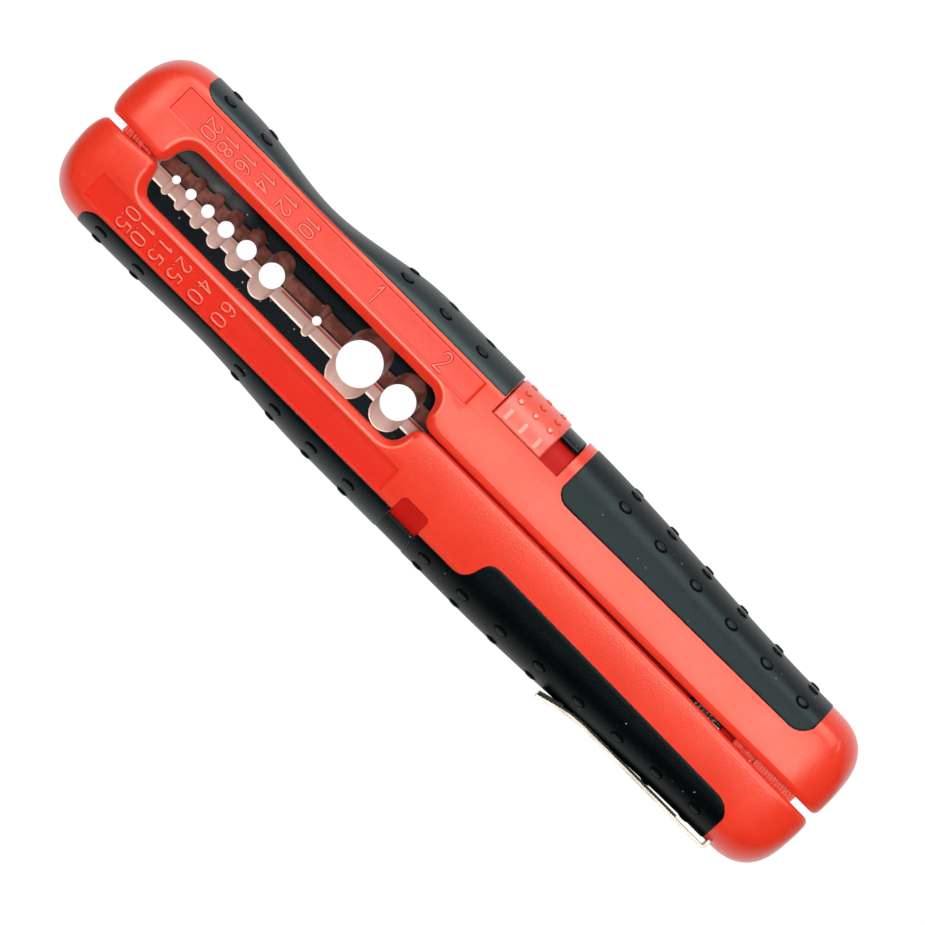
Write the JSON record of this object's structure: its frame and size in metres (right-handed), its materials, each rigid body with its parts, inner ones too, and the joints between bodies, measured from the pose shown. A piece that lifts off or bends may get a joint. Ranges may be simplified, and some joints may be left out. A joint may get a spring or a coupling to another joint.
{
  "type": "wire stripping pliers",
  "caption": "Pen-shaped wire strippers: two long moulded halves on an end hinge, notched blades in a window, thumb lock slide, soft grips and a side clip.",
  "frame": {"origin": "on the flat back face, under the middle of the bounding box, on the slit between the halves", "axes": "+X from the jaw end to the hinge end, +Y towards the half with the lock slide, +Z out of the front face"},
  "size_m": [0.1248, 0.0275, 0.019],
  "materials": {
    "red_housing": "satin moulded orange-red plastic with a fine matte grain",
    "red_slide": "satin moulded plastic, a little lighter and pinker than the housing",
    "soft_grip": "matte soft moulded grip, blue-black grey",
    "black_carrier": "smooth black moulding with dust specks",
    "blade_steel": "ground steel that mirrors the red housing",
    "plain_steel": "plain bright steel",
    "clip_steel": "bright nickel-plated spring steel",
    "dark_spring_steel": "blackened spring steel"
  },
  "bodies": {
    "lock_half": {"housing_lock_half": "red_housing", "front_grip_lock_half": "soft_grip", "rear_grip_lock_half": "soft_grip", "blade_carrier_lock_half": "black_carrier", "wire_blade_lock_half": "blade_steel", "coax_blade_lock_half": "blade_steel", "lock_detent_spring": "dark_spring_steel", "hinge_pin": "plain_steel", "opening_spring": "plain_steel", "blade_dowel_lock_half_1": "plain_steel", "blade_dowel_lock_half_2": "plain_steel", "blade_dowel_lock_half_3": "plain_steel", "blade_dowel_lock_half_4": "plain_steel"},
    "clip_half": {"housing_clip_half": "red_housing", "grip_clip_half": "soft_grip", "blade_carrier_clip_half": "black_carrier", "wire_blade_clip_half": "blade_steel", "coax_blade_clip_half": "blade_steel", "blade_dowel_clip_half_1": "plain_steel", "blade_dowel_clip_half_2": "plain_steel", "blade_dowel_clip_half_3": "plain_steel", "blade_dowel_clip_half_4": "plain_steel", "catch_pin": "plain_steel", "belt_clip": "clip_steel"},
    "lock": {"lock_slide": "red_slide", "lock_hook": "plain_steel"}
  },
  "joints": [
    {"name": "jaw_hinge", "type": "hinge", "parent": "lock_half", "child": "clip_half", "pos_m": [0.05555, 0, 0.0095], "axis": [0, 0, 1], "range_deg": [0, 7.5]},
    {"name": "lock_travel", "type": "slide", "parent": "lock_half", "child": "lock", "axis": [1, 0, 0], "range_m": [0, 0.003]}
  ]
}
